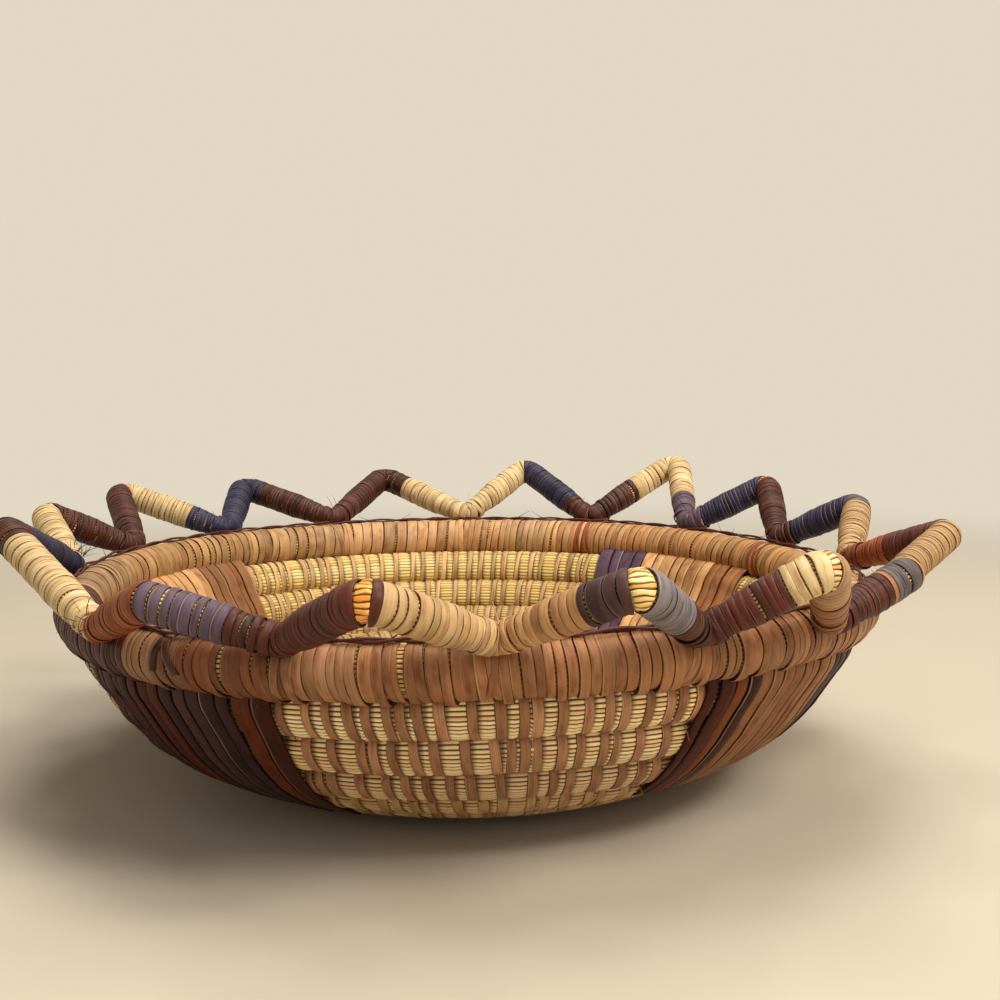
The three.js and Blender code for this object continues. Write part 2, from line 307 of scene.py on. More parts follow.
def noise(add, detail, x, y, z=0.0, roughness=0.5):
    """Cloudy noise at a place that is worked out for it."""
    place = add.node("CombineXYZ", {0: x, 1: y, 2: z})
    return add.node("TexNoise", {"Vector": place, "Scale": 1.0, "Detail": detail,
                                 "Roughness": roughness})


def straw_material(name, gloss, gap_shade_depth=0.93, gap_shade_colour=(0.085, 0.026, 0.008, 1)):
    """Dry stalks side by side: each has its own tone, with painted shade in the gap to the next one and
    where stitches pinch it.
    """
    material, add, shader = new_material(name, gloss)
    paint, soft, u, v = strip_values(add)
    stitch_and_panel_shade = add.node("Attribute", output="Alpha", attribute_name="dye")
    stalk = v.maths("FLOOR")
    across = v - stalk
    piece = (u * 0.013 + stalk * 0.37).maths("FLOOR")
    tone = add.node("TexWhiteNoise", {0: add.node("CombineXYZ", {0: stalk, 1: piece})},
                    noise_dimensions="2D")
    fibre = noise(add, 3.0, u * 0.09, v * 5.0, stalk)
    spots = noise(add, 4.0, u * 0.35, v * 0.9)
    tones = add.node("ValToRGB", {0: tone * 0.72 + fibre * 0.28}, stops=[
        (0.0, (190, 142, 90)), (0.15, (228, 192, 140)), (0.36, (250, 236, 208)),
        (0.6, (255, 254, 240)), (0.88, (255, 255, 250)), (1.0, (236, 200, 146))])
    colour = paint.blend(tones, 1.0, "MULTIPLY")
    colour = colour.blend((0.26, 0.13, 0.05, 1), spots.between(0.62, 0.76) * 0.5)
    # Painted shade in the groove between two stalks, weaker on the inside of the bowl where soft is
    # high
    gap = (across - 0.5).maths("ABSOLUTE").between(0.3, 0.43)
    colour = colour.blend(gap_shade_colour, gap * (gap_shade_depth - soft * 0.5))
    # Painted shade from the dye's alpha: where stitches pinch the stalks, and on the coil under the
    # closed panels
    colour = colour.blend((0.1, 0.034, 0.012, 1), stitch_and_panel_shade.between(0.3, 0.8) * 0.8)
    relief = fibre * 0.4 + across.between(0.0, 0.25) * (1 - across.between(0.75, 1.0))
    bump = add.node("Bump", {"Strength": 0.5, "Distance": 0.0003, "Height": relief})
    join(shader, Base_Color=colour, Roughness=fibre * 0.25 + 0.33, Normal=bump)
    return material


def straw_sheet(bundle, lengths, count, dye, lift=0.0, shade=0.0, material=0, cells=stalk_cells,
                groove=0.5, rough=0.07, sway=0.0, soft=0.0, tuck=0.0):
    """The lobed surface of a bundle, with a groove at the first of each stalk's cells, whose points are
    darkened with painted shade.
    """
    place = np.add.outer(np.arange(count), cells).ravel()
    turn = bundle.turn(place / count) + np.zeros((len(lengths), 1))
    phase = chance.uniform(0, 6.28)
    turn = turn + sway * np.sin(lengths[:, None] * 1.9 + turn * 5 + phase)
    turn = turn + sway * 0.7 * np.sin(lengths[:, None] * 0.8 - turn * 8 + phase * 2)
    proud = np.repeat(chance.normal(0, rough, (len(lengths) // 9 + 2, count)), len(cells), axis=1)
    rows = np.linspace(0, len(proud) - 1.001, len(lengths))
    low = rows.astype(int)
    part = (rows - low)[:, None]
    proud = proud[low] * (1 - part) + proud[low + 1] * part
    at_groove = np.tile(np.arange(len(cells)) == 0, count)
    depth = np.where(at_groove, groove * (0.5 * soft - 1), 0.0)
    away = np.reshape(lift, (-1, 1)) + depth + proud - tuck * np.clip(0.2 - np.cos(turn), 0, 1)
    points = bundle.at(lengths[:, None], turn, away)
    # Painted shade at each groove's points, weaker on the inside of the bowl
    dye = np.asarray(dye) * np.where(at_groove, 0.3 + 0.4 * soft, 1.0)[None, :, None]
    return sheet(points, lengths, np.append(place, count), dye, shade=np.reshape(shade, (-1, 1)),
                 number=soft, material=material)


def coil_line():
    """The coil's middle line with its thickness, from the short stub across the axis."""
    turns = np.arange(coil_start, coil_turns, 1 / 360)
    lower, upper = turn_edge(turns), turn_edge(turns + 1)
    distance = (lower + upper) / 2
    bend = wall_at(upper)[2] - wall_at(lower)[2]
    radius, _, slope = wall_at(distance)
    climb = np.arctan(np.gradient(distance) / (radius * 2 * math.pi / 360))
    narrowed = 1 + math.tan(math.pi / 8) * np.sin(bend / 2)
    thickness = ((upper - lower) * np.cos(climb) - coil_gap) / narrowed
    begin = np.minimum((turns - coil_start) / thin_run_turns, 1)
    thickness = np.minimum(thickness, stub_thickness + begin * (thickness - stub_thickness))
    end = np.argmax((turns > coil_turns - 1) & (thickness < tail_thickness))
    angle = step_end + turns * 360
    centre = wall_point(distance, angle, (thickness - coil_thickness) / 2)[:end]
    up = polar(-np.sin(slope), angle, np.cos(slope))[:end]

    # The stub crosses the axis towards the spiral and bends left into it
    reach = math.hypot(*centre[0, :2])
    stub_end = math.sqrt(reach ** 2 - stub_bend ** 2) - stub_bend
    heading = math.degrees(math.atan2(*centre[0, 1::-1]) - math.asin(stub_bend / reach))
    curve = np.radians(np.arange(0, 85, 10))
    ahead = np.append(stub_thickness * (np.arange(4) / 4 - 1), stub_bend * np.sin(curve))
    left = np.append(np.zeros(4), stub_bend * (1 - np.cos(curve)))
    stub = polar(stub_end + ahead, heading, centre[0, 2]) + polar(left, heading + 90, 0)
    before = (len(stub), 0)
    centre = np.vstack([stub, centre])
    up = np.vstack([np.tile([0, 0, 1.0], (len(stub), 1)), up])
    thickness = np.pad(thickness[:end], before, constant_values=stub_thickness)
    angle = np.pad(angle[:end], before, "edge")
    distance = np.pad(distance[:end], before)
    return centre, np.gradient(centre, axis=0), up, thickness, angle, distance


coil_centre, coil_along, coil_up, coil_width, coil_angle, coil_distance = coil_line()
coil = Bundle(coil_centre, coil_along, coil_up, coil_width / 2 + 0.05, coil_flatness, spread=1.12)


# Where the four closed panels of leaf strips hide the coil: how far up the wall their feet are,
# and the angles of the edges of their three bands
panel_foot = 87.0
front_right_foot = 105.0
inner_foot = panel_foot + 4
panel_edges = {
    "front_right": (298.5, 307, 325, 335),
    "back_right": (25, 34, 51, 61),
    "back_left": (138, 149, 165, 175),
    "front_left": (205, 229, 241, 247),
}


def under_panel(length, margin):
    """Whether the closed panels cover the coil at a length along it."""
    angle = np.interp(length, coil.length, coil_angle) % 360
    distance = np.interp(length, coil.length, coil_distance)
    covered = np.zeros(np.shape(length), bool)
    for side, edges in panel_edges.items():
        foot = front_right_foot if side == "front_right" else inner_foot
        inner_rows = distance > foot + coil_thickness / 2 + 0.5
        covered |= (angle > edges[0] + margin) & (angle < edges[-1] - margin) & inner_rows
    return covered


def lower_row_shade(length):
    """How much painted shade darkens the rows: the upper ones little, the lower ones all."""
    distance = np.interp(length, coil.length, coil_distance)
    return np.clip((rim_edge - coil_thickness - distance) / (2 * coil_thickness), 0, 1) ** 0.8


# Where each stitch crosses the coil, and how wide it is: some stand in pairs. The straw's surface
# has a ring of points under each stitch, one on both sides of it and one halfway to the next.
stitches = []
place = 3.0
while place < coil.length[-1] - 3:
    stitches.append((place, chance.uniform(2.4, 3.4)))
    place += 3.6 if chance.random() < 0.2 else chance.uniform(4.5, 8.6)
stitches = np.array(stitches)
middles = stitches[:, 0]
next_middle = np.append(middles[1:], coil.length[-1])
edge = stitches[:, 1] / 2 + 0.25
ring_kinds = (  # lengths along the coil, how far the straw swells there, and how much painted shade it gets
    ([0.0], -0.2, 0.5), (middles, -0.3, 1.0), (middles + edge, -0.14, 0.5),
    ((middles + next_middle) / 2, 0.08, 0.0), (next_middle - np.append(edge[1:], 0.2), -0.14, 0.5),
)
rings = np.concatenate([np.stack(np.broadcast_arrays(*kind), 1) for kind in ring_kinds])
rings = rings[np.argsort(rings[:, 0])]
# The coil under the closed panels gets full painted shade, so that the slits between their strips show
# dark
rings[under_panel(rings[:, 0], 0.8), 2] = 1.0
keep = ~under_panel(rings[:, 0], 2.0) | (np.arange(len(rings)) % 4 == 0)
ring_lengths, ring_pull, ring_shade = rings[keep & np.append(True, np.diff(rings[:, 0]) > 0.05)].T

straw = straw_material("dry straw", 0.35)
straw_outside = linear((255, 233, 187))
straw_inside = linear((232, 209, 138))
lower_row_shade_tint = np.array([0.33, 0.45, 0.5])
turn_inside = coil.turn(np.add.outer(np.arange(stalks), stalk_cells).ravel() / stalks)
inside = np.clip(0.5 + 1.5 * np.sin(turn_inside), 0, 1)
coil_dye = straw_outside * (1 - inside[None, :, None]) + straw_inside * inside[None, :, None]
coil_parts = {"floor": 0.22, "belly": 0.42, "wall": 0.62, "shoulder": 0.81, "top": 1}
low = 0
for name, end in coil_parts.items():
    high = np.searchsorted(ring_lengths, end * coil.length[-1])
    part = slice(low, high + 1)
    low = high
    # The lower rows are darkened with painted shade
    row_dye = coil_dye * (1 - lower_row_shade(ring_lengths[part])[:, None, None] * lower_row_shade_tint)
    surface = straw_sheet(coil, ring_lengths[part], stalks, row_dye, ring_pull[part],
                          ring_shade[part], soft=inside)
    add_piece("straw_coil_" + name, [surface], [straw], "foundation_coil", lowest=0.3)


# The stitches: narrow strips of dried leaf. Each goes once round the coil, through the row below,
# and leans so that its lower end on the outside lies further right than its upper end.
# Each dye has a pale and a deep tone, as the eye sees them.
dyes = {
    "cream": ((234, 216, 170), (212, 190, 142)),
    "pale tan": ((208, 180, 134), (186, 154, 110)),
    "dry tan": ((202, 170, 126), (178, 144, 104)),
    "stitch tan": ((220, 188, 134), (194, 160, 110)),
    "tan": ((220, 180, 130), (194, 148, 104)),
    "brown": ((184, 134, 92), (150, 104, 70)),
    "stitch brown": ((196, 150, 112), (158, 114, 82)),
    "rim brown": ((152, 96, 62), (122, 72, 44)),
    "maroon": ((98, 38, 22), (68, 25, 15)),
    "dark brown": ((92, 45, 31), (60, 28, 20)),
    "wine brown": ((108, 52, 38), (76, 36, 28)),
    "rust": ((176, 98, 53), (131, 67, 37)),
    "violet": ((110, 92, 116), (84, 68, 92)),
    "plum": ((86, 58, 62), (58, 36, 40)),
    "slate": ((146, 144, 156), (112, 110, 122)),
    "dark slate": ((110, 106, 114), (82, 78, 88)),
    "navy": ((54, 52, 90), (35, 34, 64)),
}


def dyed(name, spread=0.07):
    """One strip's colour: between its dye's two tones, and a little lighter or darker."""
    pale, deep = (linear(tone) for tone in dyes[name])
    share = chance.random()
    return (pale * share + deep * (1 - share)) * (1 + chance.normal(0, spread))


def leaf_material(name, gloss, curl_highlight_from):
    """A dried leaf strip: fine fibres run down its length, its edges are darkened with painted shade,
    and some have a pale painted highlight where they would curl up.
    """
    material, add, shader = new_material(name, gloss)
    paint, number, u, v = strip_values(add)
    fibre = noise(add, 4.0, u * 0.05, v * 9.0, number * 90.0, 0.65)
    blotch = noise(add, 3.0, u * 0.16, v * 1.3, number * 50.0)
    scuff = add.node("TexNoise", {"Vector": add.node("TexCoord", output="Object"),
                                  "Scale": 420.0, "Detail": 6.0, "Roughness": 0.7})
    tones = add.node("ValToRGB", {0: fibre}, stops=[
        (0.25, (204, 188, 172)), (0.5, (246, 240, 232)), (0.72, (255, 255, 255))])
    colour = paint.blend(tones, 1.0, "MULTIPLY")
    stains = add.node("ValToRGB", {0: blotch}, stops=[
        (0.28, (196, 164, 140)), (0.5, (246, 240, 232)), (0.75, (255, 255, 252))])
    colour = colour.blend(stains, 0.85, "MULTIPLY")
    worn = scuff.between(0.6, 0.76) * v.between(0.2, 0.4) * (1 - v.between(0.6, 0.85))
    colour = colour.blend((0.62, 0.42, 0.26, 1), worn * 0.14)
    ragged = v + (fibre - 0.5) * 0.08
    # Painted shade along both edges, where one strip meets the next
    painted_edge_shade = 1 - ragged.between(0.02, 0.1) * (1 - ragged.between(0.92, 0.995))
    colour = colour.blend((0.24, 0.12, 0.075, 1), painted_edge_shade * 0.9, "MULTIPLY")
    # A pale painted highlight along the edges of some strips, for an edge that curls up
    curl = ragged.between(0.08, 0.12) * (1 - ragged.between(0.13, 0.2)) * number.between(curl_highlight_from, 0.9)
    colour = colour.blend(colour.blend((0.75, 0.55, 0.36, 1), 0.5), curl * 0.7)
    relief = fibre * 0.5 + scuff * 0.2
    bump = add.node("Bump", {"Strength": 0.4, "Distance": 0.0003, "Height": relief})
    join(shader, Base_Color=colour, Roughness=scuff * 0.3 + 0.34, Normal=bump)
    return material


# A strip's section: how far across it each of eight points lies, and how high
strip_across = np.array([1.0, 0.93, 0.66, 0.34, 0.07, 0.0, 0.12, 0.88])
strip_height = np.array([0.25, 0.8, 1.0, 1.0, 0.75, 0.15, -0.5, -0.5])


def wrap(bundle, middle, width, dye, thickness=0.36, lift=0.0, lean=0.0, steps=26,
         turns=(0, 2 * math.pi), wobble=0.12, sag=0.0, pinch=0.0):
    """A strip round a bundle, with its middle at a length along it. It can lean along the bundle,
    sag on the outside, and be pinched narrower on the inside of the bowl."""
    whole = abs(turns[1] - turns[0]) > 2 * math.pi - 0.01
    turn = np.linspace(*turns, steps, endpoint=not whole)
    outside = np.clip((2 * math.pi - turn) / math.pi, 0, 1)
    shift = lean * np.where(turn > math.pi, outside ** 1.7 - 0.5, turn / math.pi - 0.5)
    wave = wobble * np.sin(turn * chance.integers(1, 4) + chance.uniform(0, 6.28))
    width = width * (1 - pinch * np.clip(np.sin(turn), 0, 1))
    length = (middle + shift + wave)[:, None] + width[:, None] * (strip_across - 0.5)[None, :]
    slack = sag * np.exp(-((turn - 1.22 * math.pi) / 0.62) ** 2)
    height = lift + slack[:, None] + thickness * strip_height[None, :]
    points = bundle.at(length, turn[:, None], height)
    around = np.append(turn, turns[1])
    reach = bundle.rows[:, 9].mean() * np.minimum(around, turns[1] - around)
    across = np.append(strip_across, strip_across[0])
    return sheet(points, reach, across, dye, number=chance.random(), loop=whole)


leaf = leaf_material("dried leaf strip", 0.25, 0.4)
stitch_rows = {"floor": [], "foot": [], "wall": []}
for (middle, width), covered in zip(stitches, under_panel(stitches[:, 0], 0.6)):
    if covered:
        continue
    distance = np.interp(middle, coil.length, coil_distance)
    angle = np.interp(middle, coil.length, coil_angle) % 360
    # The stitches are all the same leaf; the darker brown on the front of the upper rows is painted
    # shade
    dye_name = "stitch brown" if 190 < angle < 350 and distance > 110 else "stitch tan"
    lean = 2.6 if angle < 275 else 1.3
    # Stitches on the lower rows get a little of the same painted shade
    dye = dyed(dye_name, 0.1) * (1 - 0.25 * lower_row_shade(middle))
    strip = wrap(coil, middle, width, dye, lift=-0.16, lean=lean + chance.normal(0, 0.4),
                 steps=20 if distance < 72 else 26, pinch=0.28)
    stitch_rows["floor" if distance < 80 else "foot" if distance < 124 else "wall"].append(strip)
for name, strips in stitch_rows.items():
    add_piece(f"coil_stitches_{name}", strips, [leaf], "foundation_coil")


# The coil's start: the first tight ring in the middle of the base. It is wound all over with leaf,
# which hides the ends of the straw.
knot_ring = np.arange(0, 361, 12)
knot_radius = 5.2
knot_thickness = 9.8
knot_strips = 13
knot = Bundle(polar(knot_radius, knot_ring, coil_centre[0, 2]), polar(1, knot_ring + 90, 0),
              (0, 0, 1), knot_thickness / 2)
knot.loop = knot.length[-1]
strips = [wrap(knot, place, knot.loop / knot_strips, dyed("tan", 0.1), 0.42, lean=0.6, steps=24)
          for place in (np.arange(knot_strips) + 0.5) * knot.loop / knot_strips]
add_piece("coil_start_knot", strips, [leaf], "foundation_coil", lowest=0.2)


# The closed panels: long leaf strips laid side by side over the wall, outside and inside, from
# under the rim down to the foot of the wall. Each panel has three bands of colour.
panel_dyes = {
    "front_right": ("dark brown", "tan", "violet"),
    "back_right": ("brown", "tan", "violet"),
    "back_left": ("brown", "tan", "violet"),
    "front_left": ("dark brown", "plum", "rust"),
}
node_endings = {"dark brown": "darkBrown", "plum": "violet"}
# How much painted shade darkens each dye's outside strips against the same dye inside; any other dye
# gets 0.72
outer_painted_shade = {"rust": 0.52, "wine brown": 0.6, "brown": 0.82, "plum": 0.82, "dark brown": 0.66}
strip_angle = 2.4
tucked = 3.8  # how far the strips reach under the rim


def coil_bulge(distance, angle):
    """How far the coil's side stands out from the wall's middle, at a distance up the wall."""
    part = (angle - step_end) % 360 / 360
    edges = turn_edge(np.arange(coil_turns + 1) + part)
    row = np.clip(np.searchsorted(edges, distance) - 1, 0, len(edges) - 2)
    across = (distance - edges[row]) / np.maximum(edges[row + 1] - edges[row], 1) * 2 - 1
    rise = (1 - np.clip(np.abs(across), 0, 1) ** coil_flatness) ** (1 / coil_flatness)
    return (coil_thickness / 2 + 0.1) * rise


panel_leaf = leaf_material("panel leaf strip", 0.1, 0.6)


def wall_strip(edges, foot, side, dye, sweep, least=6.6):
    """A leaf strip up the wall between two angles, on its inside (1) or its outside (-1). It lies
    on the coil's rows, is tucked under the rim, and its foot is pushed into the coil."""
    distance = np.linspace(foot, rim_edge + tucked, 50)
    share = (distance - foot) / (rim_edge + tucked - foot)
    across, heights = strip_across[::-side], strip_height[::-side]
    rest = np.maximum(coil_bulge(distance, edges[0]), least)
    rest = rest - 0.05 * np.maximum(distance - rim_edge + 4, 0) ** 2
    rest = rest - 2.6 * np.clip(1 - (distance - foot) / 3, 0, 1) ** 2
    loose = 0.08 * np.sin(share * 6 + chance.uniform(0, 6)) + chance.uniform(0.05, 0.4)
    lift = side * ((rest + loose)[:, None] + 0.6 * heights[None, :])
    angle = edges[0] + (edges[1] - edges[0]) * across[None, :]
    drift = sweep * (1 - share) ** 1.5 + 0.1 * np.sin(share * 5 + chance.uniform(0, 6))
    points = wall_point(distance[:, None], angle + drift[:, None], lift)
    v = np.append(across, across[0])
    return sheet(points, distance, v, dye, number=chance.random())


for side, edges in panel_edges.items():
    for band, dye_name in enumerate(panel_dyes[side]):
        ending = f"{side}_{node_endings.get(dye_name, dye_name)}"
        start, end = edges[band:band + 2]
        count = round((end - start) / strip_angle)
        borders = np.linspace(start, end, count + 1)
        borders[1:-1] += chance.normal(0, 0.25, count - 1)
        sweep = {"front_left": 1.2, "front_right": -0.8}.get(side, 0.5)
        strips = []
        for low, high in zip(borders[:-1], borders[1:]):
            spaced = side == "front_left" and low < 217 and chance.random() < 0.35
            outer_name = dye_name
            if side == "front_left" and (high > 246 or low < 228):
                outer_name = "dark brown" if high > 246 else "wine brown"
            if side == "front_right":
                outer_name = {"tan": "brown", "violet": "plum"}.get(dye_name, dye_name)
                outer_name = "rust" if 302 < low < 304.5 else outer_name
            dye = dyed(outer_name, 0.14) * outer_painted_shade.get(outer_name, 0.72)
            inner = dyed("brown" if dye_name in ("dark brown", "plum") else dye_name, 0.16)
            if dye_name == "brown":
                inner = inner * (0.62 if side == "back_left" else 1.15)
            if not spaced:
                gap = chance.uniform(0.02, 0.16)
                least = 6.5 if side == "front_left" and low < 217 else 7
                foot = front_right_foot if side == "front_right" else panel_foot
                strips.append(wall_strip((low + gap, high - 0.02), foot, -1, dye, sweep, least))
            strips.append(wall_strip((low, high), inner_foot, 1, inner, 0.4))
        add_piece("closed_panel_" + ending, strips, [panel_leaf],
                  "leaf_panel_" + ending)


# The rim coil: a thicker bundle on top of the wall, wrapped all over with leaf strips. Here and
# there two strips stand apart, and the stalks under them show as a row of pale beads.
rim_angles = np.arange(361.0)
rim = Bundle(polar(rim_radius, rim_angles, rim_height), polar(1, rim_angles + 90, 0),
             polar(-math.sin(rim_slope), rim_angles, math.cos(rim_slope)),
             rim_thickness / 2 - 0.5, flatness=2.1)
rim_loop = rim.length[-1]
rim.loop = rim_loop

rim_straw = straw_material("rim straw", 0.35)
core_rings = np.linspace(0, rim_loop, 241)
core = straw_sheet(rim, core_rings[:-1], 34, linear((228, 190, 128)), lift=-0.4)
core.update(loop=True, u=core_rings)
add_piece("rim_straw_core", [core], [rim_straw], "rim_coil")


def rim_front(place):
    """How much a place on the rim belongs to its front, from nothing to one."""
    return max(0.0, math.cos(math.radians(place / rim_loop * 360 - 268)))


# Patches of the rim with a colour of their own: from which angle to which, the dye, and how much
# painted shade darkens it on this left side
rim_patches = (
    (168, 192, "dry tan", 0.76), (192, 226, "maroon", 0.75), (226, 236, "stitch brown", 0.62),
    (236, 249, "rim brown", 0.8), (249, 258, "stitch brown", 0.85),
)


def rim_dye(place):
    """Reddish brown at the front, dark maroon at the far left, and tan round the back, palest in its
    middle. The patches on the left side are darkened with painted shade."""
    angle = place / rim_loop * 360
    for start, end, name, tone in rim_patches:
        if start < angle < end:
            return dyed(name, 0.13) * tone
    back = "dry tan" if 115 < angle < 215 or chance.random() < 0.3 else "tan"
    if chance.random() < rim_front(place) * 1.6:
        return dyed("brown", 0.11)
    aside = np.clip(abs(angle - 92) / 25 - 0.8, 0, 1) if angle < 168 else 0
    return dyed(back, 0.11) * (1 - aside * np.array([0.13, 0.2, 0.33]))


strips = []
place = 0.0
while place < rim_loop - 3:
    angle = place / rim_loop * 360
    back_left = 88 < angle < 200
    width = chance.uniform(3.3, 6.0) if back_left else chance.uniform(2.4, 3.8)
    if place + width > rim_loop - 3:
        width = rim_loop - place
    beads = chance.random() < (0.26 if back_left else 0.08)
    gap = chance.uniform(0.5, 0.9) if beads else chance.uniform(-0.22, 0.06)
    sag = chance.uniform(0.5, 1.5) if chance.random() < 0.3 else chance.uniform(0, 0.3)
    strips.append(wrap(rim, place + (width - gap) / 2, width - gap, rim_dye(place), 0.34,
                       lift=chance.uniform(-0.02, 0.24), lean=3.4 + chance.normal(0, 0.5),
                       steps=44, wobble=0.13, sag=sag))
    place += width
add_piece("wrapped_rim", strips, [leaf], "rim_coil")


# The runner: two thin dark twisted strands that run along the top of the rim, under the border's
# feet. They hold the lashings in line.
runner_out = math.radians(72)
runner_twist = 27.0
runner_radius = 0.5


def runner_strand(phase, dye):
    along = np.radians(rim_angles)
    turn = along * round(rim_loop / runner_twist)
    wander = 0.7 * np.sin(along * 9 + phase) + 0.4 * np.sin(along * 31 + phase * 2)
    away = rim_thickness / 2 + 0.45 + runner_radius
    out = away * math.cos(runner_out) + runner_radius * np.cos(turn + phase) + wander
    rise = away * math.sin(runner_out) + runner_radius * np.sin(turn + phase)
    line = polar(rim_radius + out, rim_angles, rim_height + rise)
    strand = Bundle(line, np.gradient(line, axis=0), (0, 0, 1), runner_radius)
    around = np.arange(6) / 6 * 2 * math.pi
    return sheet(strand.at(strand.length[:-1, None], around[None, :]), strand.length,
                 np.linspace(0.2, 0.8, 7), dye, number=chance.random() * 0.5, loop=True)


strands = [runner_strand(phase, dyed("dark brown", 0.05) * tone)
           for phase, tone in ((0.0, 1.1), (math.pi, 1.7))]
add_piece("rim_runner", strands, [leaf], "rim_coil")


# The zigzag border: a wrapped straw bundle bent into fifteen peaks and feet. Each leg is wound
# with strips of its own colours, and at some peaks the bent straw is left bare.
leg_thickness = 11.6
border_lean = math.radians(30)
peak_reach = 32.0
peak_rise = 25.0
leg_stalks = 24
peak_bend = 4.8
foot_bend = 4.2
foot_share = 0.7
taper_length = 21.0
zigzag = (  # foot angle, how far up the rim it sits, peak angle, the peak's reach and its rise
    (176, 42, 199, 0.69, 1.2), (222, 37, 237, 0.66, 0.84), (250, 49, 262, 1.12, 1),
    (273, 48, 284, 1.03, 1), (295, 39, 304, 0.91, 1), (314.5, 28, 326, 0.66, 0.68),
    (338, 40, 352, 1.03, 0.88), (4, 46, 14.5, 0.78, 1), (24.5, 55, 35.5, 0.84, 1.08),
    (45.5, 60, 56, 1.38, 1.28), (66, 56, 80, 1.03, 1.16), (90, 59, 103, 1.28, 1),
    (115, 58, 125.5, 1.25, 0.92), (136, 50, 146, 1.34, 1), (157, 41, 166.5, 0.97, 0.92),
)
# Each leg's colours from its lower to its upper end: how far along each reaches, and its dye
leg_colours = (
    ((0.85, "navy"), (1, "dark brown")), ((0.82, "cream"), (1, "dark brown")),
    ((1, "rust"),), ((0.36, "dark brown"), (1, "violet")),
    ((1, "wine brown"),), ((0.945, "pale tan"), (1, "dark brown")),
    ((0.68, "tan"), (1, "plum")), ((0.42, "dark brown"), (1, "slate")),
    ((0.72, "wine brown"), (1, "cream")), ((0.55, "brown"), (1, "dry tan")),
    ((0.66, "dark brown"), (0.72, "brown"), (1, "dark slate")), ((1, "dry tan"),),
    ((1, "dry tan"),), ((0.45, "rust"), (1, "wine brown")),
    ((0.9, "pale tan"), (1, "dark slate")), ((0.2, "dark brown"), (1, "navy")),
    ((1, "dark brown"),), ((0.19, "tan"), (1, "navy")),
    ((0.34, "violet"), (1, "cream")), ((0.5, "dark brown"), (1, "cream")),
    ((0.25, "dark brown"), (1, "navy")), ((1, "cream"),),
    ((0.72, "cream"), (1, "dark brown")), ((1, "dark brown"),),
    ((0.8, "dark brown"), (1, "navy")), ((1, "navy"),),
    ((0.34, "navy"), (1, "cream")), ((1, "dark brown"),),
    ((1, "dark brown"),), ((1, "cream"),),
)
# The peaks where the bent straw shows: how many millimetres of it, and the straw's colour
bare_peaks = {
    2: (2.2, (250, 182, 92)), 3: (3.4, (250, 220, 150)), 4: (1.5, (240, 206, 150)),
    6: (1.4, (250, 208, 128)), 8: (1.2, (250, 208, 128)), 14: (1.2, (250, 208, 128)),
}
# How wide each leg's strips are, in millimetres, where they aren't the usual width
usual_strip = 1.5
leg_strips = {
    1: 1.8, 3: 2.8, 4: 2.0, 5: 2.6, 6: 2.6, 7: 2.4, 8: 2.4, 9: 2.2, 12: 1.2, 13: 1.2, 14: 1.2,
    18: 2.5, 19: 2.8, 20: 2.2, 21: 2.4, 22: 2.0,
}
# Where stalks show as a row of beads between two strips of a leg: how far down from its peak
bead_rows = {3: (0.045, 0.115, 0.19, 0.7, 0.78), 5: (0.07, 0.15)}
# The first strip at the peak is a narrow ring on one leg
narrow_ring = {5: 1.4}


def seat_of(index):
    """Where a foot stands: out and up from the middle of the rim coil."""
    foot, seat = zigzag[index][:2]
    distance = (rim_thickness + foot_share * leg_thickness) / 2 + 0.6
    return foot, distance * math.cos(math.radians(seat)), distance * math.sin(math.radians(seat))


corners = []
for index, (_, _, peak, reach, rise) in enumerate(zigzag):
    foot, out, up = seat_of(index)
    corners.append(polar(rim_radius + out, foot, rim_height + up))
    corners.append(polar(rim_radius + reach * peak_reach, peak, rim_height + rise * peak_rise))
corners = np.array(corners)


def corner_arc(index):
    """The rounded bend at a corner: its middle line and direction, from one leg to the next."""
    corner = corners[index]
    bend = peak_bend if index % 2 else foot_bend
    arriving = unit(corner - corners[index - 1])
    leaving = unit(corners[(index + 1) % 30] - corner)
    turn = math.acos(np.clip(arriving @ leaving, -1, 1))
    middle, outward = unit(arriving + leaving), unit(arriving - leaving)
    angle = np.linspace(-1, 1, 17)[:, None] * turn / 2
    line = corner - outward * bend * (1 - np.cos(angle)) + middle * bend * np.sin(angle)
    return line, middle * np.cos(angle) - outward * np.sin(angle)


def border_up(centre):
    angle = np.degrees(np.arctan2(centre[:, 1], centre[:, 0]))
    return polar(-math.sin(border_lean), angle, math.cos(border_lean))


def leg_bundle(index, radius):
    """One leg from corner to corner. It gets thinner towards its foot."""
    arc, heading = corner_arc(index)
    next_arc, next_heading = corner_arc((index + 1) % 30)
    centre = np.vstack([arc[8:], np.linspace(arc[-1], next_arc[0], 14)[1:-1], next_arc[:9]])
    along = np.vstack([heading[8:], np.tile(heading[-1], (12, 1)), next_heading[:9]])
    leg = Bundle(centre, along, border_up(centre), radius)
    from_foot = leg.length if index % 2 == 0 else leg.length[-1] - leg.length
    full = np.clip(from_foot / taper_length, 0, 1)
    leg.rows[:, 9] *= foot_share + (1 - foot_share) * full * full * (3 - 2 * full)
    return leg


def corner_bundle(index, radius, reach=6.0):
    """The bend at a corner with a short straight stretch on both sides of it."""
    arc, heading = corner_arc(index)
    away = np.linspace(0.5, reach, 6)[:, None]
    centre = np.vstack([arc[0] - heading[0] * away[::-1], arc, arc[-1] + heading[-1] * away])
    along = np.pad(heading, ((6, 6), (0, 0)), "edge")
    return Bundle(centre, along, border_up(centre), radius)


